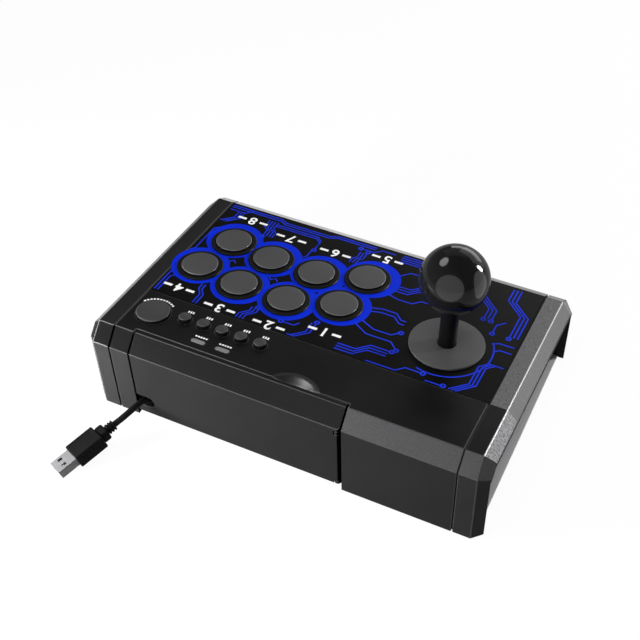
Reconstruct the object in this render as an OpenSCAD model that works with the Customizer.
// Arcade fight stick: a low wedge body with a ball-top lever, eight large push buttons, a start
// button, five small buttons and two lamps on its sloping panel, grips in both ends, and a cord
// stowed behind a side-hinged door at the back. The user sits at -Y and looks along +Y.

/* [Body] */
// Width over both end caps
body_w = 222; // [214:1:232]
// Depth from front face to rear face
body_d = 139; // [137:1:146]
// Height of the panel's rear edge above the body's underside
rear_h = 55.7; // [55:0.1:62]
// Height of the panel's front edge above the body's underside
front_h = 44; // [42:0.1:50]
// How far the rear bevel runs in from the rear face
rear_bevel_run = 8.2; // [8:0.1:9]
// How far the rear bevel drops
rear_bevel_drop = 8.6; // [8:0.1:9]
// How far the front bevel runs in from the front face
front_bevel_run = 6.8; // [5:0.1:9]
// How far the front bevel drops
front_bevel_drop = 4.5; // [4:0.1:9]
// Thickness of the housing's and the door's walls
wall = 2.5; // [2.2:0.1:2.8]
// Thickness of the housing's side walls
side_wall = 2; // [1.6:0.1:2.1]
// Width of each end cap
end_cap_w = 15.5; // [14:0.1:18]
// Run and drop of the bevel along each end
side_bevel = 5.7; // [4:0.1:6.5]
// Cut at the body's upright corners
corner_cut = 5.3; // [4:0.1:6]
// Thickness of the end caps' front and rear legs
leg_t = 5.2; // [4:0.1:6]
// Thickness of the end caps' web against the housing
web_t = 2.5; // [2.3:0.1:4]
// Thickness of the bar over each grip
grip_bar_t = 8.6; // [7.5:0.1:12]
// Width and depth of the groove at the end cap seams
seam = 0.7; // [0.3:0.1:0.9]

/* [Bottom] */
// Thickness of the bottom plate
plate_t = 1.5; // [1.2:0.1:2]
// Distance of the bottom plate's side edges from the body's sides
plate_inset = 3.7; // [2:0.1:6]
// Height of the rubber feet
foot_h = 1.5; // [1.2:0.1:3]
// Radius of the rubber feet
foot_r = 7; // [5:0.1:9]

/* [Panel] */
// Thickness of the control panel
panel_t = 3; // [2.6:0.1:3.4]
// Thickness of the printed overlay
overlay_t = 0.4; // [0.3:0.1:0.6]
// Distance of the overlay's rear edge from the panel's rear edge
overlay_rear = 33.3; // [32:0.1:35]
// Radius of the thumb scoop
scoop_r = 16; // [13:0.1:17]
// Depth of the thumb scoop
scoop_depth = 2.8; // [2:0.1:3.2]
// Place of the thumb scoop across the body
scoop_x = -6.8; // [-10:0.1:-4]
// Distance of the scoop's centre behind the panel's rear edge
scoop_back = 5.6; // [4:0.1:7]

/* [Push buttons] */
// Radius of the button caps
cap_r = 10.05; // [9.5:0.05:10.2]
// Height of the resting caps above the panel
cap_rise = 2.2; // [2:0.1:3]
// Travel of the push buttons
cap_travel = 1.8; // [1:0.1:2]
// Radius of the bezels
bezel_r = 12.9; // [12.5:0.1:13]
// Height of the bezels above the panel
bezel_h = 0.9; // [0.5:0.1:1.2]
// Wall of the button barrels
barrel_wall = 0.8; // [0.7:0.05:0.85]
// Depth of the button barrels below the panel
barrel_depth = 12.5; // [12:0.1:13.5]
// Mean distance between button columns
button_pitch = 27.5; // [27:0.1:28]
// Distance between the two button rows
row_pitch = 27.4; // [27:0.1:28]
// Distance of the rightmost rear button from the right end cap
buttons_in = 13.5; // [13.3:0.1:14.5]
// Distance of the rear button row behind the panel's middle
buttons_back = 4.35; // [3.8:0.05:4.8]

/* [Menu buttons] */
// Radius of the start button
start_r = 9; // [8:0.1:9.2]
// Height of the start button above the panel
start_rise = 1.8; // [1:0.1:2.5]
// Distance of the start button from the right end cap
start_in = 11.9; // [11.9:0.1:12.5]
// Distance of the start button from the panel's rear edge
start_s = 17.5; // [17:0.1:18]
// Radius of the small buttons
small_r = 3.3; // [3:0.1:3.6]
// Height of the small buttons above the panel
small_rise = 2.5; // [1:0.1:3]
// Distance between the small buttons
small_pitch = 11; // [10.6:0.1:11.1]
// Distance of the first small button from the right end cap
small_in = 29.5; // [29.3:0.1:29.9]
// Distance of the small buttons from the panel's rear edge
small_s = 20.3; // [20:0.1:21]
// Travel of the start and small buttons
menu_travel = 0.7; // [0.5:0.1:0.7]
// Length of the indicator lamps
lamp_l = 7.6; // [6:0.1:8]
// Width of the indicator lamps
lamp_w = 2.2; // [1.8:0.1:2.6]

/* [Lever] */
// Distance of the lever from the left end cap
lever_in = 33.3; // [32.7:0.1:33.7]
// Distance of the lever in front of the panel's middle
lever_front = 1.75; // [0.75:0.05:3.75]
// Radius of the ball top
ball_r = 17.5; // [15:0.1:18.5]
// Height of the ball's centre above the panel
ball_rise = 42.4; // [40:0.1:46]
// Depth of the lever's pivot below the panel
pivot_depth = 16; // [15.8:0.1:16.4]
// Radius of the shaft
shaft_r = 3.7; // [3.5:0.1:3.8]
// Radius of the sleeve over the shaft
sleeve_r = 4.6; // [4.4:0.05:4.8]
// Radius of the dust washer
washer_r = 19.6; // [18:0.1:20.5]
// Thickness of the dust washer
washer_t = 1.2; // [0.9:0.1:1.8]
// Tilt of the lever to each side, in degrees
lever_tilt = 7.5; // [5:0.1:7.5]

/* [Cord and door] */
// Place of the door's hinged end across the body
door_x0 = -35.6; // [-36.2:0.1:-35.2]
// Distance of the door's free end from the right end cap
door_in = 11.7; // [11.3:0.1:11.9]
// Gap round the door
door_gap = 0.6; // [0.4:0.05:0.65]
// Width of the door's lip on the panel
lip_w = 2.3; // [1.5:0.1:3]
// Height of the door's lower edge above the body's underside
door_lift = 3.7; // [3:0.1:4.5]
// Radius of the door's hinge barrel
hinge_r = 2; // [1.8:0.1:2.2]
// Radius of the door's hinge pin
pin_r = 1; // [0.8:0.05:1.05]
// Distance of the cord notch's centre from the door's free end
notch_in = 6.6; // [6.2:0.1:7]
// Radius of the cord notch in the door
notch_r = 3.7; // [3.6:0.1:4]
// Diameter of the cord
cord_d = 3.5; // [3:0.1:3.6]
// Radius of the hank's innermost fold
fold_r = 10.5; // [10:0.1:10.6]
// Length of the hank's straight runs
run_l = 70; // [60:1:70]

/* [Hidden] */
$fn = 48;

// Overrun that lets a cut pass its face
over = 1;
// Clearance between fixed pieces, and of a running fit
fit = 0.02;
running = 0.05;
// Gap that keeps loose pieces apart
gap = 0.3;

// Frame of the body
half_w = body_w / 2;
half_d = body_d / 2;
cap_x = half_w - end_cap_w;
rear_y = half_d - rear_bevel_run;
rear_z = foot_h + rear_h;
front_y = -half_d + front_bevel_run;
front_z = foot_h + front_h;
tilt = atan2(rear_z - front_z, rear_y - front_y);
panel_l = norm([rear_y - front_y, rear_z - front_z]);
plate_top = foot_h + plate_t;
plate_y = half_d - leg_t - gap;
buttons_x = cap_x - buttons_in;
buttons_s = panel_l / 2 - buttons_back;
start_x = cap_x - start_in;
small_x = cap_x - small_in;
lever_x = lever_in - cap_x;
lever_s = panel_l / 2 + lever_front;
door_x1 = cap_x - door_in;
outline = [[-half_d, foot_h], [half_d, foot_h], [half_d, rear_z - rear_bevel_drop],
    [rear_y, rear_z], [front_y, front_z], [-half_d, front_z - front_bevel_drop]];

// Places of the push buttons: columns from right to left, as shares of the pitches
column_share = [0, 0.98, 2.02, 3];
drop_share = [0.18, 0.01, 0, 0.325];
shift_share = [0.22, 0.19, 0.165, 0.15];
rear_places = [for (i = [0 : 3])
    [buttons_x - column_share[i] * button_pitch, buttons_s + drop_share[i] * row_pitch]];
front_places = [for (i = [0 : 3])
    [rear_places[i][0] - shift_share[i] * button_pitch, rear_places[i][1] + row_pitch]];
button_places = concat(
    [rear_places[3], rear_places[2], rear_places[1], rear_places[0]],
    [front_places[3], front_places[2], front_places[1], front_places[0]]);
small_places = [for (i = [0 : 4]) [small_x - i * small_pitch, small_s]];

// Button barrels, their switches and their board
bore_gap = 0.2;
barrel_r = cap_r + bore_gap + barrel_wall;
barrel_floor = 2;
skirt_l = 6;
cap_round = 1.3;
cap_crown = 0.25;
stem_r = 2.4;
switch_w = 10;
switch_h = 6;
switch_gap = 0.5;
switch_top = barrel_depth + switch_gap;
stem_dip = 1.7;
stem_bottom = switch_top + stem_dip;
well_depth = 4;
board_depth = switch_top + switch_h;
board_t = 1.6;
board_margin_x = 13.4;
board_margin_rear = 16.9;
board_margin_front = 22.7;
end_head_h = 2;
board_x0 = front_places[3][0] - board_margin_x;
board_x1 = cap_x - side_wall - end_head_h - gap;
board_s0 = buttons_s - board_margin_rear;
board_s1 = buttons_s + row_pitch + board_margin_front;
board_post_shares = [[0.036, 0.612], [0.964, 0.552], [0.255, 0.105], [0.791, 0.06],
    [0.745, 0.94], [0.245, 0.94]];
board_posts = [for (p = board_post_shares)
    [board_x0 + p[0] * (board_x1 - board_x0), board_s0 + p[1] * (board_s1 - board_s0)]];
post_r = 3;
board_screw_r = 1.2;
board_head_r = 2.4;
board_head_h = 1.6;
bezel_chamfer = 0.4;

// Menu buttons, their switches and their board
menu_depth = 8.3;
menu_margin = 4.4;
menu_margin_end = 5.5;
menu_margin_rear = 4;
menu_margin_front = 9.7;
lamp_s = 8.5;
menu_x0 = small_places[4][0] - menu_margin_end;
menu_x1 = start_x + menu_margin;
menu_s0 = lamp_s - menu_margin_rear;
menu_s1 = small_s + menu_margin_front;
menu_post_shares = [[0.161, 0.157], [0.79, 0.157], [0.154, 0.843], [0.776, 0.902]];
menu_posts = [for (p = menu_post_shares)
    [menu_x0 + p[0] * (menu_x1 - menu_x0), menu_s0 + p[1] * (menu_s1 - menu_s0)]];
menu_post_r = 2.4;
menu_switch_w = 6;
menu_switch_h = 3.5;
flange_gap = 0.2;
flange_w = 0.6;
flange_t = 0.8;
menu_stem_r = 1.5;
menu_stem_l = 1.6;
menu_well_depth = 2.6;
cap_bevel = 0.5;
lamp_share = [1.336, 2.609];
lamp_x = [for (k = lamp_share) small_x - k * small_pitch];
lamp_proud = 0.15;
lamp_depth = 6.8;
led_h = 1.2;

// Lever mechanism, by depth below the panel
lever_hole_r = 12;
washer_up = 0.3;
lower_washer_up = 0.2;
lower_washer_t = 1.2;
lower_washer_r = 16;
washer_slack = 0.35;
lower_slack = 1.2;
sleeve_end = 5;
sleeve_wall = sleeve_r - shaft_r - running;
stud_r = 3;
stud_l = 12;
boss_h = 3;
lever_boss_r = 4;
lever_boss_x = 25;
lever_boss_y = 21;
lever_plate_w = 60;
lever_plate_d = 52;
lever_plate_t = 1.6;
lever_plate_hole_r = 8;
lever_screw_r = 1.6;
lever_head_r = 3.2;
lever_head_h = 2;
frame_top = panel_t + boss_h + lever_plate_t;
frame_w = 44;
frame_wall = 2.5;
frame_bottom = 30;
socket_r = 14;
pivot_r = 9;
pivot_half_h = 6.5;
pivot_gap = 0.4;
trunnion_r = 2;
trunnion_end = 12.5;
cross_pin_r = 1.5;
cross_pin_l = 16.6;
neck_r = 3;
shoulder = 24.6;
seat_r = 8;
seat_t = 1;
spring_r = 6;
spring_wire_r = 0.5;
spring_turns = 5;
spring_rings = 10;
spring_sides = 6;
actuator_top = 33;
actuator_end = 41;
actuator_r = 5.5;
actuator_flange_r = 6.6;
actuator_flange_t = 1.2;
clip_r = 5.2;
clip_t = 0.8;
groove_r = 2.4;
shaft_end = 44;
unit_w = 42;
unit_hole_r = 10;
lever_switch_l = 12.8;
lever_switch_w = 5.8;
lever_switch_h = 6.5;
lever_switch_face = 9.4;
nub_r = 0.8;
nub_l = 0.9;
nub_up = 36.8;
gate_top = 38.4;
gate_bottom = 40.4;
gate_half = 9;
gate_w = 38;
gate_post_r = 2.2;
gate_post_at = 16;

// Posts under the panel and their screws
body_post_shares = [[-0.793, -0.791], [0.072, -0.791], [0.793, -0.791], [0.802, 0.432],
    [-0.405, 0.647], [-0.793, 0.791]];
body_posts = [for (p = body_post_shares) [p[0] * half_w, p[1] * half_d]];
body_post_r = 3.2;
screw_r = 1.5;
screw_l = 9.5;
screw_head_r = 2.9;
foot_shares = [[-0.793, -0.791], [0.793, -0.791], [-0.793, 0.791], [0.793, 0.791],
    [-0.288, -0.791], [0.432, -0.791]];
foot_places = [for (p = foot_shares) [p[0] * half_w, p[1] * half_d]];
foot_bevel = 0.4;
end_screw_shares = [[-0.719, 0.264], [0.719, 0.264], [0.288, 0.835], [-0.504, 0.659]];
end_screw_places = [for (p = end_screw_shares) [p[0] * half_d, p[1] * front_z]];
end_screw_l = 3.8;

// Cable bay
bay_wall = 1.5;
bay_inset = 1.1;
bay_x0 = door_x0 + bay_inset;
bay_x1 = door_x1 - gap;
bay_behind = 23.5;
bay_back = 4.5;
bay_drop = 12.6;
bay_y0 = half_d - bay_behind;
bay_y1 = half_d - bay_back;
bay_leg_h = 1.5;
bay_z0 = plate_top + bay_leg_h;
bay_z1 = rear_z - bay_drop;
bay_rib_w = 3;
bay_ear_l = 6.5;
bay_ear_t = 2;
bay_ear_in = 7;
bay_ear_margin = 4;
bay_ear_z0 = bay_z0 + bay_ear_margin;
bay_ear_z1 = bay_z1 - bay_ear_margin;
bay_ear_y = half_d - bay_ear_in;

// Door and hinge
hinge_x = door_x0 + hinge_r;
hinge_y = half_d - hinge_r;
door_z0 = foot_h + door_lift;
hinge_ear_h = 2.2;
top_ear_drop = 12.9;
top_ear_z = rear_z - top_ear_drop;
ear_reach = 6;
ear_back = 2.5;
notch_x = door_x1 - notch_in;
notch_up = 9.1;
notch_z = door_z0 + notch_up;
lip_y = rear_y - lip_w;
lip_gap = 0.5;

// Cord: the lead's route from the hank to the plug, chosen by hand
lead_route = [[61, 62.5, 8.5], [65, 62.5, 8.5], [69, 62.6, 9], [73, 63.2, 10.2],
    [76.5, 64.6, 11.6], [79.2, 67, 13], [80.7, 70, 13.7], [81.6, 73.5, 13.7],
    [82.5, 77, 13.5], [83.4, 80.5, 13.3], [84.5, 84, 12.9], [85.5, 86.3, 12.4],
    [86.6, 88.6, 11.8]];
plug_tip = [101.2, 122.2, 4.1];
// The inner lead's route from the gland to the board's socket
inner_route = [[85.4, 50.5, 41.05], [88, 49.8, 41], [89.5, 46, 40.3], [89.3, 41, 39.6],
    [86.5, 36, 38.8], [82, 31, 37.9], [79, 27.5, 37.2], [78, 24.5, 37], [78, 22.1, 36.7]];
inner_r = 1.2;
cord_r = cord_d / 2;
lead_sides = 8;
hank_sides = 6;
hank_rings = 24;
hank_end_ring = 138;
turn_rings = [39, 75, 111];
hank_pitch = 4.2;
layer_pitch = 4;
waist_r = 3;
hank_y = lead_route[0][1] - 3 * layer_pitch;
hank_x = lead_route[0][0] - cord_d - run_l / 2;
hank_z = lead_route[0][2] + ring_r(hank_end_ring);
gland_x = 76;
gland_r = 2.7;
gland_nose_r = 2.2;
gland_flange_r = 4.2;
gland_flange_t = 1.5;
tie_w = 8;
tie_t = 0.6;
tie_gap = 0.25;

// Plug
plug_roll = 20;
shell_l = 11;
mould_l = 17;
neck_l = 4.5;
relief_l = 5;
mould_w = 15;
mould_h = 7.6;
mould_round = 1.5;
neck_w = 9.5;
neck_h = 6.4;
shell_w = 12;
shell_h = 4.5;
shell_wall = 0.4;
tongue_h = 1.9;
tongue_w = 10.6;
tongue_back = 1.2;
relief_ribs = 3;
relief_r = 3.1;
relief_core_r = 2.5;
grip_ribs = 7;
grip_rib_d = 0.35;

// Turns a direction or a corner of the outline
function unit(v) = v / norm(v);
function inward(a, b) = [-(b - a)[1], (b - a)[0]] / norm(b - a);
// A convex outline moved in by d on every edge
function inset(p, d) = [for (i = [0 : len(p) - 1])
    let (n = len(p), u = inward(p[(i + n - 1) % n], p[i]), v = inward(p[i], p[(i + 1) % n]))
    p[i] + d * (u + v) / (1 + u * v)];

// Closed tube swept along points; ref is never parallel to the path
function path_dir(p, i) = unit(p[min(i + 1, len(p) - 1)] - p[max(i - 1, 0)]);
function ring(p, i, r, n, ref) =
    let (d = path_dir(p, i), u = unit(cross(d, ref)), v = cross(u, d))
    [for (k = [0 : n - 1]) p[i] + r * (cos(360 * k / n) * u + sin(360 * k / n) * v)];
function tube_faces(m, n) = concat(
    [for (i = [0 : m - 2], k = [0 : n - 1], h = [0, 1])
        let (a = i * n + k, b = i * n + (k + 1) % n)
        h == 0 ? [a, b, b + n] : [a, b + n, a + n]],
    [for (k = [1 : n - 2]) [0, k + 1, k]],
    [for (k = [1 : n - 2]) let (e = (m - 1) * n) [e, e + k, e + k + 1]]);
module tube(p, r, n, ref) {
    polyhedron([for (i = [0 : len(p) - 1]) each ring(p, i, r, n, ref)], tube_faces(len(p), n));
}

// The hank: radius, layer and place of ring i, drawn in at the waist of each run
function ring_r(i) = fold_r + hank_pitch / hank_rings * (
    i < turn_rings[0] ? turn_rings[0] - i :
    i < turn_rings[1] ? i - turn_rings[0] :
    i < turn_rings[2] ? turn_rings[2] - i : i - turn_rings[2]);
function climb(i, c) = max(0, min(1, (i - c + hank_rings / 8) / (hank_rings / 4)));
function layer(i) = climb(i, turn_rings[0]) + climb(i, turn_rings[1]) + climb(i, turn_rings[2]);
function hank_point(i) =
    let (q = hank_rings / 4, k = i % hank_rings, side = floor(k / q), f = (k % q) / q,
        r = ring_r(i), w = (waist_r - fold_r) * pow(sin(180 * f), 2),
        y = hank_y + layer(i) * layer_pitch)
    side == 0 ? [hank_x + run_l * (0.5 - f), y, hank_z + r + w] :
    side == 1 ? [hank_x - run_l / 2 - r * sin(180 * f), y, hank_z + r * cos(180 * f)] :
    side == 2 ? [hank_x - run_l * (0.5 - f), y, hank_z - r - w] :
        [hank_x + run_l / 2 + r * sin(180 * f), y, hank_z - r * cos(180 * f)];
hank_route = concat(
    [hank_point(0) + [gland_x - hank_x - run_l / 2, 0, 0], hank_point(0) + [cord_d, 0, 0]],
    [for (i = [0 : hank_end_ring]) hank_point(i)], [lead_route[0]]);
least_gap = min([for (i = [0 : hank_end_ring], j = [i + hank_rings / 2 : 1 : hank_end_ring])
    norm(hank_point(i) - hank_point(j))]) - cord_d;
echo(hank_least_gap = least_gap);
function path_length(p) = len(p) < 2 ? 0 :
    [for (i = 0, s = 0; i < len(p); s = s + (i + 1 < len(p) ? norm(p[i + 1] - p[i]) : 0), i = i + 1)
        s][len(p) - 1];
echo(cord_length = path_length(hank_route) + path_length(lead_route));

// Places its children on the sloping panel: x across, s down the slope, up along its normal
module on_panel(x, s, up) {
    translate([x, rear_y, rear_z]) rotate([tilt, 0, 0]) translate([0, -s, up]) children();
}
module on_lever(depth) {
    on_panel(lever_x, lever_s, -depth) children();
}
// Extrudes a side view from x0 to x1
module along_x(x0, x1) {
    translate([x0, 0, 0]) rotate([90, 0, 90]) linear_extrude(x1 - x0) children();
}
// A slab centred across, from z0 up by h
module slab(w, d, z0, h) {
    translate([-w / 2, -d / 2, z0]) cube([w, d, h]);
}
module disc(r, z0, h) {
    translate([0, 0, z0]) cylinder(r = r, h = h);
}
module washer(r, hole, z0, h) {
    difference() {
        disc(r, z0, h);
        disc(hole, z0 - over, h + 2 * over);
    }
}

module top_panel() {
    color([0.1, 0.1, 0.105]) difference() {
        union() {
            on_panel(0, 0, -panel_t) translate([-cap_x, -panel_l, 0])
                cube([2 * cap_x, panel_l, panel_t]);
            on_panel(scoop_x, 0, -panel_t - scoop_depth / 2)
                translate([-scoop_r, -scoop_r, 0])
                    cube([2 * scoop_r, scoop_r - lip_w - lip_gap - gap, scoop_depth / 2]);
            for (p = board_posts)
                on_panel(p[0], p[1], -board_depth) disc(post_r, 0, board_depth - panel_t);
            for (p = menu_posts)
                on_panel(p[0], p[1], -menu_depth) disc(menu_post_r, 0, menu_depth - panel_t);
            for (i = [-1, 1], j = [-1, 1])
                on_lever(panel_t + boss_h) translate([i * lever_boss_x, j * lever_boss_y, 0])
                    disc(lever_boss_r, 0, boss_h);
            for (p = body_posts)
                translate([p[0], p[1], plate_top])
                    cylinder(r = body_post_r, h = post_height(p[1]) - plate_top);
        }
        on_panel(0, overlay_rear, -overlay_t) translate([-half_w, -panel_l, 0])
            cube([body_w, panel_l, overlay_t + over]);
        translate([door_x0 - door_gap, lip_y - lip_gap, rear_z - panel_t - scoop_depth])
            cube([door_x1 - door_x0 + 2 * door_gap, body_d, body_d]);
        on_panel(scoop_x, -scoop_back, scoop_ball_r - scoop_depth) sphere(r = scoop_ball_r, $fn = 96);
        for (p = button_places)
            on_panel(p[0], p[1], 0) disc(barrel_r + fit, -panel_t - over, panel_t + 2 * over);
        on_panel(start_x, start_s, 0) disc(start_r + bore_gap, -panel_t - over, panel_t + 2 * over);
        for (p = small_places)
            on_panel(p[0], p[1], 0) disc(small_r + bore_gap, -panel_t - over, panel_t + 2 * over);
        for (x = lamp_x)
            on_panel(x, lamp_s, -panel_t - over)
                bar(lamp_l + 2 * fit, lamp_w + 2 * fit, panel_t + 2 * over);
        on_lever(0) disc(lever_hole_r, -panel_t - over, panel_t + 2 * over);
        for (p = board_posts)
            on_panel(p[0], p[1], -board_depth - over) disc(board_screw_r + fit, 0, screw_l);
        for (p = menu_posts)
            on_panel(p[0], p[1], -menu_depth - over) disc(board_screw_r + fit, 0, menu_depth - panel_t);
        for (i = [-1, 1], j = [-1, 1])
            on_lever(panel_t + boss_h + over) translate([i * lever_boss_x, j * lever_boss_y, 0])
                disc(lever_screw_r + fit, 0, boss_h + over + panel_t / 2);
        for (p = body_posts)
            translate([p[0], p[1], plate_top - over]) cylinder(r = screw_r + fit, h = screw_l + over);
    }
}
// Radius of the ball that hollows the scoop
scoop_ball_r = (scoop_r * scoop_r + scoop_depth * scoop_depth) / (2 * scoop_depth);
// Height of a post that ends inside the panel's thickness at y
function post_height(y) = rear_z - (rear_y - y) * tan(tilt) - panel_t / 2;

// A bar with round ends, its length across the body
module bar(l, w, h) {
    slab(l - w, w, 0, h);
    for (i = [-1, 1]) translate([i * (l - w) / 2, 0, 0]) cylinder(d = w, h = h);
}

module graphic_overlay() {
    color([0.03, 0.05, 0.3]) difference() {
        on_panel(0, panel_l, -overlay_t) translate([-cap_x, 0, 0])
            cube([2 * cap_x, panel_l - overlay_rear, overlay_t]);
        for (p = button_places) on_panel(p[0], p[1], 0) disc(barrel_r + fit, -over, 2 * over);
        on_lever(0) disc(lever_hole_r, -over, 2 * over);
    }
}

module main_housing() {
    color([0.16, 0.16, 0.165]) difference() {
        union() {
            difference() {
                along_x(-cap_x, cap_x) polygon(outline);
                along_x(-cap_x + side_wall, cap_x - side_wall) polygon(inset(outline, wall));
                slab(2 * (cap_x - side_wall), body_d - 2 * wall, foot_h - over, wall + 2 * over);
                slab(body_w, 2 * (plate_y + gap), foot_h - over, plate_t + over);
                on_panel(0, panel_l, -panel_t) translate([-half_w, 0, 0])
                    cube([body_w, panel_l, panel_t + over]);
                translate([door_x0 - door_gap, lip_y - lip_gap, foot_h - over])
                    cube([door_x1 - door_x0 + 2 * door_gap, body_d, body_d]);
            }
            for (z = [door_z0, top_ear_z]) hinge_ear(z);
        }
        translate([hinge_x, hinge_y, door_z0 - over])
            cylinder(r = pin_r + fit, h = top_ear_z - door_z0 + hinge_ear_h + over + gap);
        for (i = [-1, 1], p = end_screw_places)
            translate([i * cap_x, p[0], p[1]]) rotate([0, 90, 0])
                cylinder(r = screw_r + fit, h = 2 * (side_wall + over), center = true);
    }
}
// A fixed lug that holds one end of the hinge pin
module hinge_ear(z) {
    translate([hinge_x, hinge_y, z]) cylinder(r = hinge_r, h = hinge_ear_h);
    translate([hinge_x - ear_reach, hinge_y - ear_back, z])
        cube([ear_reach, ear_back, hinge_ear_h]);
}

module end_cap() {
    difference() {
        intersection() {
            union() {
                along_x(cap_x, cap_x + seam) polygon(inset(outline, seam));
                along_x(cap_x + seam, half_w) polygon(outline);
            }
            linear_extrude(rear_z + over) polygon([
                [cap_x - over, -half_d], [half_w - corner_cut, -half_d],
                [half_w, -half_d + corner_cut], [half_w, half_d - corner_cut],
                [half_w - corner_cut, half_d], [cap_x - over, half_d]]);
        }
        on_panel(half_w - side_bevel, panel_l / 2, 0) rotate([0, 45, 0])
            translate([0, -body_d, 0]) cube([body_d, 2 * body_d, body_d]);
        corner_facet(1);
        corner_facet(-1);
        translate([0, 0, -grip_bar_t])
            along_x(cap_x + web_t, half_w + over) polygon([[-plate_y - gap, 0],
                [plate_y + gap, 0], [plate_y + gap, top_at(plate_y + gap) - side_bevel],
                [plate_y + gap - side_bevel, top_at(plate_y + gap - side_bevel)],
                [-plate_y - gap, top_at(-plate_y - gap)]]);
        translate([0, -plate_y - gap, foot_h - over])
            cube([body_w, 2 * (plate_y + gap), plate_t + over]);
        for (p = end_screw_places)
            translate([cap_x - over, p[0], p[1]]) rotate([0, 90, 0])
                cylinder(r = screw_r + fit, h = over + end_screw_l - side_wall + gap);
    }
}
// Height of the panel's plane at y
function top_at(y) = rear_z - (rear_y - y) * tan(tilt);
// Cuts the small sloping facet where the end's bevel meets the rear (1) or front (-1) bevel
module corner_facet(end) {
    run = end > 0 ? rear_bevel_run : front_bevel_run;
    drop = end > 0 ? rear_bevel_drop : front_bevel_drop;
    y = end > 0 ? rear_y : front_y;
    z = end > 0 ? rear_z : front_z;
    a = [half_w - side_bevel, y, z];
    b = [half_w - corner_cut, end * half_d, z - drop];
    c = [half_w, y - end * side_bevel / 2, top_at(y - end * side_bevel / 2) - side_bevel];
    n = -end * cross(b - a, c - a);
    far = (a + b + c) / 3 + unit(n) * body_d;
    m = (a + b + c) / 3;
    p = [for (q = [a, b, c]) m + (q - m) * body_d / side_bevel];
    polyhedron([p[0], p[1], p[2], far],
        end > 0 ? [[0, 2, 1], [0, 1, 3], [1, 2, 3], [2, 0, 3]]
            : [[0, 1, 2], [0, 3, 1], [1, 3, 2], [2, 3, 0]]);
}
module right_end_cap() {
    color([0.2, 0.2, 0.205]) end_cap();
}
module left_end_cap() {
    color([0.2, 0.2, 0.205]) mirror([1, 0, 0]) end_cap();
}

module bottom_plate() {
    color([0.5, 0.5, 0.51]) difference() {
        slab(body_w - 2 * plate_inset, 2 * plate_y, foot_h, plate_t);
        for (p = body_posts) translate([p[0], p[1], foot_h]) {
            translate([0, 0, -over]) cylinder(r = screw_r + fit, h = plate_t + 2 * over);
            cylinder(r1 = screw_head_r + fit, r2 = screw_r + fit, h = plate_t);
        }
    }
}
module rubber_feet() {
    color([0.08, 0.08, 0.08]) for (p = foot_places) translate([p[0], p[1], 0]) {
        cylinder(r1 = foot_r - foot_bevel, r2 = foot_r, h = foot_bevel);
        translate([0, 0, foot_bevel]) cylinder(r = foot_r, h = foot_h - foot_bevel);
    }
}
module bottom_screws() {
    color("silver") for (p = body_posts) translate([p[0], p[1], foot_h]) {
        cylinder(r1 = screw_head_r, r2 = screw_r, h = plate_t);
        cylinder(r = screw_r, h = plate_t + screw_l - gap);
    }
}
module end_cap_screws() {
    color("silver") for (i = [-1, 1], p = end_screw_places)
        translate([i * (cap_x - side_wall), p[0], p[1]]) rotate([0, i * 90, 0]) {
            disc(screw_head_r, -end_head_h, end_head_h);
            disc(screw_r, 0, end_screw_l);
        }
}

module cable_bay() {
    color([0.12, 0.12, 0.12]) difference() {
        union() {
            translate([bay_x0, bay_y0, bay_z0])
                cube([bay_x1 - bay_x0, bay_y1 - bay_y0, bay_z1 - bay_z0]);
            for (x = [bay_x0 + bay_rib_w, (bay_x0 + bay_x1) / 2, bay_x1 - 2 * bay_rib_w])
                translate([x, bay_y0, plate_top])
                    cube([bay_rib_w, bay_y1 - bay_y0 - bay_rib_w, bay_z0 - plate_top]);
            bay_ear(bay_x0 - bay_ear_l, bay_x0, door_x0 - door_gap - gap);
            bay_ear(bay_x1, bay_x1 + bay_ear_l, bay_x1 + bay_ear_l);
        }
        translate([bay_x0 + bay_wall, bay_y0 + bay_wall, bay_z0 + bay_wall])
            cube([bay_x1 - bay_x0 - 2 * bay_wall, body_d, bay_z1 - bay_z0 - 2 * bay_wall]);
        translate([gland_x - gap, hank_y, hank_point(0)[2]]) rotate([0, 90, 0])
            cylinder(r = gland_r + gap, h = bay_x1 - bay_wall - gland_x);
        translate([gland_x, hank_y, hank_point(0)[2]]) rotate([0, 90, 0])
            cylinder(r = gland_r + fit, h = bay_x1 - gland_x + over);
    }
}
// A side ear of the bay, padded out to the rear wall up to its outer end
module bay_ear(x0, x1, pad_x1) {
    translate([x0, bay_ear_y, bay_ear_z0]) cube([x1 - x0, bay_ear_t, bay_ear_z1 - bay_ear_z0]);
    pad_x0 = x0 < 0 ? x0 : door_x1 + door_gap + gap;
    translate([pad_x0, bay_ear_y, bay_ear_z0])
        cube([pad_x1 - pad_x0, half_d - wall - bay_ear_y, bay_ear_z1 - bay_ear_z0]);
}

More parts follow.
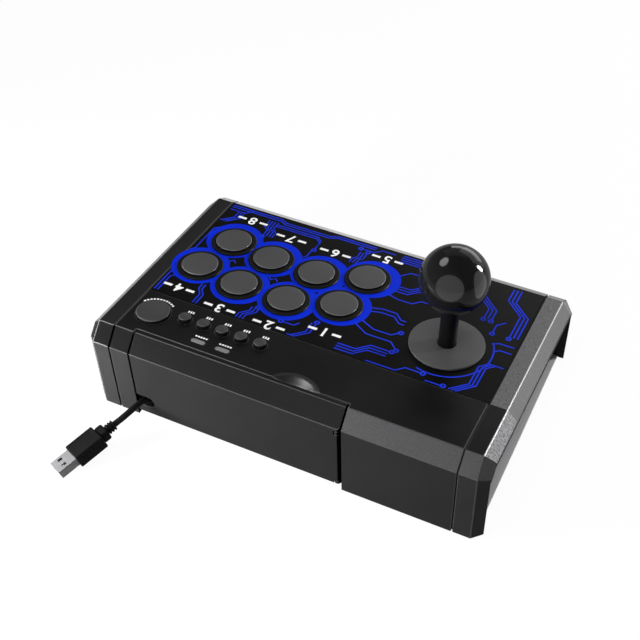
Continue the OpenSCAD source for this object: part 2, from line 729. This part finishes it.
module cable_door() {
    color([0.17, 0.17, 0.175]) difference() {
        intersection() {
            along_x(door_x0, door_x1) polygon(outline);
            union() {
                translate([hinge_x, lip_y, door_z0]) cube([door_x1 - hinge_x, body_d, body_d]);
                translate([door_x0, lip_y, door_z0]) cube([hinge_r, hinge_y - lip_y, body_d]);
                translate([hinge_x, hinge_y, door_z0]) cylinder(r = hinge_r, h = rear_h);
            }
        }
        difference() {
            along_x(door_x0 - over, door_x1 + over) polygon(door_inside());
            translate([hinge_x, hinge_y, 0]) cylinder(r = hinge_r, h = body_d);
        }
        translate([hinge_x, hinge_y, 0]) cylinder(r = pin_r + running, h = top_ear_z + hinge_ear_h + gap);
        translate([hinge_x, hinge_y, 0]) cylinder(r = hinge_r + gap, h = door_z0 + hinge_ear_h + gap);
        translate([hinge_x, hinge_y, top_ear_z - gap])
            cylinder(r = hinge_r + gap, h = hinge_ear_h + 2 * gap);
        translate([notch_x, half_d + over, notch_z]) rotate([90, 0, 0])
            cylinder(r = notch_r, h = 2 * wall + over);
        translate([notch_x, half_d - 2 * wall, notch_z - notch_r])
            cube([body_w, 2 * wall + over, 2 * notch_r]);
    }
}
// The space inside the door: the outline moved in, open below and in front
function door_inside() = let (p = inset(outline, wall))
    [[-half_d, -over], [p[2][0], -over], p[2], p[3], [-half_d, p[3][1] - (p[3][0] + half_d) * tan(tilt)]];
module door_hinge_pin() {
    color("silver") translate([hinge_x, hinge_y, door_z0])
        cylinder(r = pin_r, h = top_ear_z + hinge_ear_h - door_z0);
}

module cable_gland() {
    start = hank_point(0);
    color([0.06, 0.06, 0.06]) translate([gland_x, start[1], start[2]]) rotate([0, 90, 0]) {
        cylinder(r1 = gland_nose_r, r2 = gland_r, h = bay_x1 - bay_wall - gland_x);
        disc(gland_r, bay_x1 - bay_wall - gland_x, bay_wall);
        disc(gland_flange_r, bay_x1 - gland_x, gland_flange_t);
    }
}
module cable_hank() {
    color([0.05, 0.05, 0.05]) tube(hank_route, cord_r, hank_sides, [0, 1, 0]);
}
module cable_lead() {
    color([0.05, 0.05, 0.05]) tube(lead_route, cord_r, lead_sides, [0, 0, 1]);
}
module inner_lead() {
    color([0.3, 0.3, 0.3]) tube(inner_route, inner_r, lead_sides, [0, 0, 1]);
}
module cable_tie() {
    half = ring_r(0) - fold_r + waist_r + cord_r + tie_gap;
    y0 = hank_y - cord_r - tie_gap;
    y1 = hank_y + 3 * layer_pitch + cord_r + tie_gap;
    color([0.1, 0.1, 0.1]) translate([hank_x - tie_w / 2, 0, hank_z]) difference() {
        translate([0, y0 - tie_t, -half - tie_t])
            cube([tie_w, y1 - y0 + 2 * tie_t, 2 * (half + tie_t)]);
        translate([-over, y0, -half]) cube([tie_w + 2 * over, y1 - y0, 2 * half]);
    }
}

// Places its children with Z along the plug from the cord's end towards its tip
module on_plug(from) {
    start = lead_route[len(lead_route) - 1];
    d = plug_tip - start;
    translate(start) rotate([0, acos(d[2] / norm(d)), atan2(d[1], d[0])]) rotate([0, 0, plug_roll + 180])
        translate([0, 0, from]) children();
}
// A block across Y, thick along X, with rounded long edges
module soft_block(w, h, l, r) {
    for (i = [-1, 1], j = [-1, 1])
        translate([i * (h / 2 - r), j * (w / 2 - r), 0]) cylinder(r = r, h = l, $fn = 24);
    slab(h - 2 * r, w, 0, l);
    slab(h, w - 2 * r, 0, l);
}
module plug_body() {
    color([0.05, 0.05, 0.05]) {
        on_plug(0) cylinder(r = relief_core_r, h = relief_l);
        for (i = [0 : relief_ribs - 1])
            on_plug(i * relief_l / relief_ribs) cylinder(r = relief_r, h = relief_l / relief_ribs / 2);
        on_plug(relief_l) soft_block(neck_w, neck_h, neck_l, mould_round);
        difference() {
            on_plug(relief_l + neck_l) soft_block(mould_w, mould_h, mould_l, mould_round);
            for (i = [1 : grip_ribs], j = [-1, 1])
                on_plug(relief_l + neck_l + mould_l * i / (grip_ribs + 2))
                    translate([-mould_h / 2, j * mould_w / 2 - grip_rib_d, 0])
                        cube([mould_h, 2 * grip_rib_d, 2 * grip_rib_d]);
        }
    }
}
module plug_shell() {
    color("silver") on_plug(relief_l + neck_l + mould_l) difference() {
        slab(shell_h, shell_w, 0, shell_l);
        slab(shell_h - 2 * shell_wall, shell_w - 2 * shell_wall, -over, shell_l + 2 * over);
    }
}
module plug_tongue() {
    color([0.9, 0.9, 0.9]) on_plug(relief_l + neck_l + mould_l)
        translate([-shell_h / 2 + shell_wall + fit, -tongue_w / 2, 0])
            cube([tongue_h, tongue_w, shell_l - tongue_back]);
}

module button_housings() {
    color([0.06, 0.06, 0.06]) for (p = button_places) on_panel(p[0], p[1], 0) difference() {
        union() {
            disc(bezel_r, 0, bezel_h - bezel_chamfer);
            translate([0, 0, bezel_h - bezel_chamfer])
                cylinder(r1 = bezel_r, r2 = bezel_r - bezel_chamfer, h = bezel_chamfer);
            disc(barrel_r, -barrel_depth, barrel_depth);
        }
        disc(cap_r + bore_gap, -barrel_depth + barrel_floor, barrel_depth + bezel_h);
        disc(stem_r + running, -barrel_depth - over, barrel_depth);
    }
}
// Half section of a round cap with a softened rim, from its skirt to its crown
function cap_section(r, rise, skirt, soft) = concat(
    [[0, -skirt], [r, -skirt]],
    [for (a = [0 : 15 : 90]) [r - soft + soft * cos(a), rise - soft - cap_crown + soft * sin(a)]],
    [[0, rise]]);
module push_button(i) {
    p = button_places[i - 1];
    color([0.28, 0.28, 0.285]) on_panel(p[0], p[1], 0) {
        rotate_extrude() polygon(cap_section(cap_r, cap_rise, skirt_l, cap_round));
        disc(stem_r, -stem_bottom, stem_bottom - skirt_l);
    }
}
module button_1() { push_button(1); }
module button_2() { push_button(2); }
module button_3() { push_button(3); }
module button_4() { push_button(4); }
module button_5() { push_button(5); }
module button_6() { push_button(6); }
module button_7() { push_button(7); }
module button_8() { push_button(8); }

module button_switches() {
    color([0.5, 0.1, 0.1]) for (p = button_places) on_panel(p[0], p[1], -board_depth) difference() {
        slab(switch_w, switch_w, 0, switch_h);
        disc(stem_r + running, switch_h - well_depth, well_depth + over);
    }
}
module button_board() {
    color([0.05, 0.3, 0.12]) difference() {
        on_panel(board_x0, board_s1, -board_depth - board_t)
            cube([board_x1 - board_x0, board_s1 - board_s0, board_t]);
        for (p = board_posts)
            on_panel(p[0], p[1], -board_depth)
                disc(board_screw_r + fit, -board_t - over, board_t + 2 * over);
    }
}
// Parts soldered on the button board: the controller chip, the cord's socket and small parts
module board_parts() {
    color([0.12, 0.12, 0.13]) {
        on_panel(chip_at[0], chip_at[1], -board_depth) slab(chip_w, chip_w, 0, chip_h);
        on_panel(inner_route[8][0], board_s0, -board_depth) translate([-socket_w / 2, -socket_w, 0])
            cube([socket_w, socket_w, socket_h]);
        for (i = [0 : small_part_count - 1])
            on_panel(small_part_x + i * small_part_pitch, small_part_s, -board_depth)
                slab(small_part_l, small_part_l / 2, 0, chip_h);
    }
}
chip_share = [0.527, 0.09];
chip_at = [board_x0 + chip_share[0] * (board_x1 - board_x0),
    board_s0 + chip_share[1] * (board_s1 - board_s0)];
chip_w = 9;
chip_h = 1.4;
socket_w = 7;
socket_h = 4.6;
small_part_count = 5;
small_part_x = 20;
small_part_s = 72;
small_part_pitch = 8;
small_part_l = 3.2;
module board_screws() {
    color("silver") {
        for (p = board_posts) on_panel(p[0], p[1], -board_depth - board_t) board_screw(screw_l - over);
        for (p = menu_posts)
            on_panel(p[0], p[1], -menu_depth - board_t)
                board_screw(menu_depth - panel_t + board_t - 2 * over);
    }
}
module board_screw(l) {
    disc(board_head_r, -board_head_h, board_head_h);
    disc(board_screw_r, 0, l);
}

// A menu button: its cap, the flange that keeps it under the panel, and its stem
module menu_button(p, r, rise) {
    color([0.24, 0.24, 0.245]) on_panel(p[0], p[1], 0) {
        disc(r, -panel_t - flange_gap, panel_t + flange_gap + rise - cap_bevel);
        translate([0, 0, rise - cap_bevel]) cylinder(r1 = r, r2 = r - cap_bevel, h = cap_bevel);
        disc(r + flange_w, -panel_t - flange_gap - flange_t, flange_t);
        disc(menu_stem_r, -panel_t - flange_gap - flange_t - menu_stem_l, menu_stem_l);
    }
}
module start_button() { menu_button([start_x, start_s], start_r, start_rise); }
module small_button_1() { menu_button(small_places[0], small_r, small_rise); }
module small_button_2() { menu_button(small_places[1], small_r, small_rise); }
module small_button_3() { menu_button(small_places[2], small_r, small_rise); }
module small_button_4() { menu_button(small_places[3], small_r, small_rise); }
module small_button_5() { menu_button(small_places[4], small_r, small_rise); }

module menu_board() {
    color([0.05, 0.3, 0.12]) difference() {
        on_panel(menu_x0, menu_s1, -menu_depth - board_t)
            cube([menu_x1 - menu_x0, menu_s1 - menu_s0, board_t]);
        for (p = menu_posts)
            on_panel(p[0], p[1], -menu_depth)
                disc(board_screw_r + fit, -board_t - over, board_t + 2 * over);
    }
}
module menu_switches() {
    color([0.2, 0.2, 0.2]) for (p = concat([[start_x, start_s]], small_places))
        on_panel(p[0], p[1], -menu_depth) difference() {
            slab(menu_switch_w, menu_switch_w, 0, menu_switch_h);
            disc(menu_stem_r + running, menu_switch_h - menu_well_depth, menu_well_depth + over);
        }
}
module lamp_lenses() {
    color([0.75, 0.76, 0.78]) for (x = lamp_x)
        on_panel(x, lamp_s, -lamp_depth) bar(lamp_l, lamp_w, lamp_depth + lamp_proud);
}
module lamp_leds() {
    color([0.9, 0.9, 0.7]) for (x = lamp_x)
        on_panel(x, lamp_s, -menu_depth) slab(lamp_l / 2, lamp_w, 0, led_h);
}

// A flat strip of thickness t along a 2D path
function strip(p, t) = concat(
    [for (i = [0 : len(p) - 1]) p[i] + strip_side(p, i) * t / 2],
    [for (i = [len(p) - 1 : -1 : 0]) p[i] - strip_side(p, i) * t / 2]);
function strip_side(p, i) =
    let (d = unit(p[min(i + 1, len(p) - 1)] - p[max(i - 1, 0)])) [-d[1], d[0]];
// The flat cables from the menu board and from the lever's switches to the button board
module ribbon_cables() {
    color([0.55, 0.55, 0.57]) {
        on_panel(ribbon_x, 0, 0) rotate([90, 0, 90]) linear_extrude(ribbon_w)
            polygon(strip(menu_ribbon, ribbon_t));
        on_panel(0, ribbon_s + ribbon_w, 0) rotate([90, 0, 180]) mirror([1, 0, 0])
            linear_extrude(ribbon_w) polygon(strip(lever_ribbon, ribbon_t));
    }
}
ribbon_w = 8;
ribbon_t = 0.5;
ribbon_x = 56;
ribbon_s = 64;
ribbon_bend = 3;
ribbon_sag = 5;
ribbon_in = 3;
menu_ribbon = [[ribbon_in - menu_s1, -menu_depth - board_t],
    [ribbon_in - menu_s1, -menu_depth - board_t - ribbon_bend],
    [-menu_s1, -menu_depth - board_t - ribbon_sag],
    [-board_s0, -menu_depth - board_t - ribbon_sag - ribbon_t],
    [-board_s0 - ribbon_in, -board_depth + ribbon_bend], [-board_s0 - ribbon_in, -board_depth]];
lever_ribbon = [[lever_x + unit_w / 2 - ribbon_in, -frame_bottom - board_t],
    [lever_x + unit_w / 2 - ribbon_in, -frame_bottom - board_t - ribbon_bend],
    [lever_x + unit_w / 2 + ribbon_bend, -frame_bottom - board_t - ribbon_sag],
    [board_x0 - ribbon_w, -frame_bottom],
    [board_x0 + ribbon_in, -board_depth - board_t - ribbon_sag],
    [board_x0 + ribbon_in + ribbon_t, -board_depth - board_t]];

module ball_top() {
    color([0.03, 0.03, 0.03]) on_lever(-ball_rise) difference() {
        sphere(r = ball_r, $fn = 96);
        disc(stud_r + fit, -ball_r - over, stud_l + over);
        disc(ball_r, -2 * ball_r, ball_r + ball_flat);
    }
}
ball_flat = 0.3;
module lever_shaft() {
    top = ball_rise - ball_r + ball_flat;
    color("silver") on_lever(0) difference() {
        union() {
            disc(shaft_r, -shoulder, shoulder + top);
            disc(stud_r, 0, top + stud_l - ball_flat - gap);
            disc(neck_r, -shaft_end, shaft_end);
        }
        translate([0, 0, -pivot_depth]) rotate([90, 0, 0])
            cylinder(r = cross_pin_r + fit, h = 4 * shaft_r, center = true);
        difference() {
            disc(shaft_r, -actuator_end - clip_t - 2 * fit - fit, clip_t + 2 * fit);
            disc(groove_r, -shaft_end, shaft_end);
        }
    }
}
module shaft_sleeve() {
    color([0.08, 0.08, 0.08]) on_lever(0)
        washer(sleeve_r, sleeve_r - sleeve_wall, -sleeve_end, sleeve_end + ball_rise - ball_r + ball_flat);
}
module dust_washer() {
    color([0.28, 0.28, 0.285]) on_lever(0) washer(washer_r, sleeve_r + washer_slack, washer_up, washer_t);
}
module lower_washer() {
    slide = tan(lever_tilt) * (pivot_depth - panel_t);
    color([0.1, 0.1, 0.1]) on_lever(panel_t + lower_washer_up + lower_washer_t) difference() {
        disc(lower_washer_r, 0, lower_washer_t);
        for (j = [-1, 1]) translate([0, j * slide, 0])
            disc(sleeve_r + lower_slack, -over, 2 * over + lower_washer_t);
        slab(2 * (sleeve_r + lower_slack), 2 * slide, -over, 2 * over + lower_washer_t);
    }
}
module mounting_plate() {
    color([0.6, 0.6, 0.62]) on_lever(frame_top) difference() {
        slab(lever_plate_w, lever_plate_d, 0, lever_plate_t);
        disc(lever_plate_hole_r, -over, lever_plate_t + 2 * over);
        for (i = [-1, 1], j = [-1, 1]) translate([i * lever_boss_x, j * lever_boss_y, 0])
            disc(lever_screw_r + fit, -over, lever_plate_t + 2 * over);
    }
}
module lever_screws() {
    color("silver") for (i = [-1, 1], j = [-1, 1])
        on_lever(frame_top) translate([i * lever_boss_x, j * lever_boss_y, 0]) {
            disc(lever_head_r, -lever_head_h, lever_head_h);
            disc(lever_screw_r, 0, lever_plate_t + boss_h);
        }
}
module lever_body() {
    color([0.12, 0.12, 0.12]) on_lever(frame_bottom) difference() {
        union() {
            difference() {
                slab(frame_w, frame_d, 0, frame_bottom - frame_top);
                slab(frame_w - 2 * frame_wall, frame_d - 2 * frame_wall, -over,
                    frame_bottom - frame_top - frame_wall + over);
            }
            disc(socket_r, frame_bottom - pivot_depth - pivot_half_h,
                pivot_depth + pivot_half_h - frame_top);
        }
        translate([0, 0, frame_bottom - pivot_depth]) {
            sphere(r = pivot_r + pivot_gap);
            disc(pivot_r + pivot_gap, 0, pivot_depth);
            rotate([0, 90, 0])
                cylinder(r = trunnion_r + running, h = 2 * (trunnion_end + gap), center = true);
            slab(2 * (trunnion_end + gap), 2 * (trunnion_r + running), 0, pivot_depth);
        }
        for (i = [-1, 1], j = [-1, 1]) translate([i * lever_boss_x, j * lever_boss_y, 0])
            disc(lever_head_r + gap, -over, frame_bottom);
    }
}
frame_d = 36;
module pivot_ball() {
    slot_half = shaft_r + pivot_half_h * tan(lever_tilt) + gap;
    color([0.85, 0.85, 0.82]) on_lever(pivot_depth) difference() {
        union() {
            intersection() {
                sphere(r = pivot_r);
                slab(4 * pivot_r, 4 * pivot_r, -pivot_half_h, 2 * pivot_half_h);
            }
            rotate([0, 90, 0]) cylinder(r = trunnion_r, h = 2 * trunnion_end, center = true);
        }
        for (i = [-1, 1]) translate([i * (slot_half - shaft_r - running), 0, 0])
            disc(shaft_r + running, -pivot_r, 2 * pivot_r);
        slab(2 * (slot_half - shaft_r - running), 2 * (shaft_r + running), -pivot_r, 2 * pivot_r);
        rotate([90, 0, 0]) cylinder(r = cross_pin_r + running, h = 4 * pivot_r, center = true);
    }
}
module pivot_retainer() {
    ring_h = pivot_depth - frame_top - pivot_half_h - gap;
    color([0.15, 0.15, 0.15]) on_lever(pivot_depth) difference() {
        union() {
            disc(pivot_r + pivot_gap - fit, pivot_half_h + gap, ring_h);
            intersection() {
                slab(2 * trunnion_end, 2 * trunnion_r, trunnion_r + gap,
                    pivot_depth - frame_top - trunnion_r - gap);
                difference() {
                    disc(2 * trunnion_end, 0, pivot_depth);
                    disc(pivot_r + pivot_gap - fit, -over, pivot_half_h + gap + over);
                }
            }
        }
        disc(retainer_bore_r, -over, 2 * pivot_depth);
    }
}
retainer_bore_r = 7.2;
module pivot_pin() {
    color("silver") on_lever(pivot_depth) rotate([90, 0, 0])
        cylinder(r = cross_pin_r, h = cross_pin_l, center = true);
}
module spring_seat() {
    color([0.15, 0.15, 0.15]) on_lever(shoulder + seat_t) washer(seat_r, neck_r + fit, 0, seat_t);
}
// The return spring's centre line, from the actuator's flange up to its seat
module lever_spring() {
    rise = actuator_top - shoulder - seat_t - 2 * spring_wire_r;
    n = spring_turns * spring_rings;
    route = [for (i = [0 : n])
        let (a = 360 * i / spring_rings,
            lift = max(0, min(1, (i - spring_rings / 2) / (n - spring_rings))))
        [spring_r * cos(a), spring_r * sin(a), spring_wire_r + rise * lift]];
    color("silver") on_lever(actuator_top) tube(route, spring_wire_r, spring_sides, [0, 0, 1]);
}
module lever_actuator() {
    color([0.05, 0.05, 0.05]) on_lever(actuator_end) difference() {
        union() {
            disc(actuator_r, 0, actuator_end - actuator_top);
            disc(actuator_flange_r, actuator_end - actuator_top - actuator_flange_t, actuator_flange_t);
        }
        disc(neck_r + fit, -over, actuator_end);
    }
}
module lever_clip() {
    color("silver") on_lever(actuator_end + clip_t + 2 * fit) difference() {
        disc(clip_r, 0, clip_t);
        disc(groove_r + fit, -over, clip_t + 2 * over);
        translate([0, -groove_r, -over]) cube([clip_r + over, 2 * groove_r, clip_t + 2 * over]);
    }
}
// The lever's switch board with its four switches, and the gate that limits the lever
module switch_unit() {
    color([0.1, 0.25, 0.35]) on_lever(0) {
        difference() {
            slab(unit_w, unit_w, -frame_bottom - board_t, board_t);
            disc(unit_hole_r, -frame_bottom - board_t - over, board_t + 2 * over);
        }
        for (a = [0 : 90 : 270]) rotate([0, 0, a]) {
            translate([lever_switch_face, -lever_switch_l / 2, -frame_bottom - board_t - lever_switch_h])
                cube([lever_switch_w, lever_switch_l, lever_switch_h]);
            translate([lever_switch_face - nub_l, 0, -nub_up]) rotate([0, 90, 0])
                cylinder(r = nub_r, h = nub_l);
            translate([gate_post_at, gate_post_at, 0])
                disc(gate_post_r, -gate_top, gate_top - frame_bottom - board_t);
        }
        difference() {
            slab(gate_w, gate_w, -gate_bottom, gate_bottom - gate_top);
            slab(2 * gate_half, 2 * gate_half, -gate_bottom - over, gate_bottom - gate_top + 2 * over);
        }
    }
}

top_panel();
graphic_overlay();
main_housing();
left_end_cap();
right_end_cap();
bottom_plate();
rubber_feet();
bottom_screws();
end_cap_screws();
cable_bay();
cable_door();
door_hinge_pin();
cable_gland();
cable_hank();
cable_tie();
cable_lead();
plug_body();
plug_shell();
plug_tongue();
inner_lead();
button_housings();
button_1();
button_2();
button_3();
button_4();
button_5();
button_6();
button_7();
button_8();
button_switches();
button_board();
board_parts();
board_screws();
start_button();
small_button_1();
small_button_2();
small_button_3();
small_button_4();
small_button_5();
menu_board();
menu_switches();
lamp_lenses();
lamp_leds();
ribbon_cables();
ball_top();
lever_shaft();
shaft_sleeve();
dust_washer();
lower_washer();
mounting_plate();
lever_screws();
lever_body();
pivot_ball();
pivot_retainer();
pivot_pin();
spring_seat();
lever_spring();
lever_actuator();
lever_clip();
switch_unit();
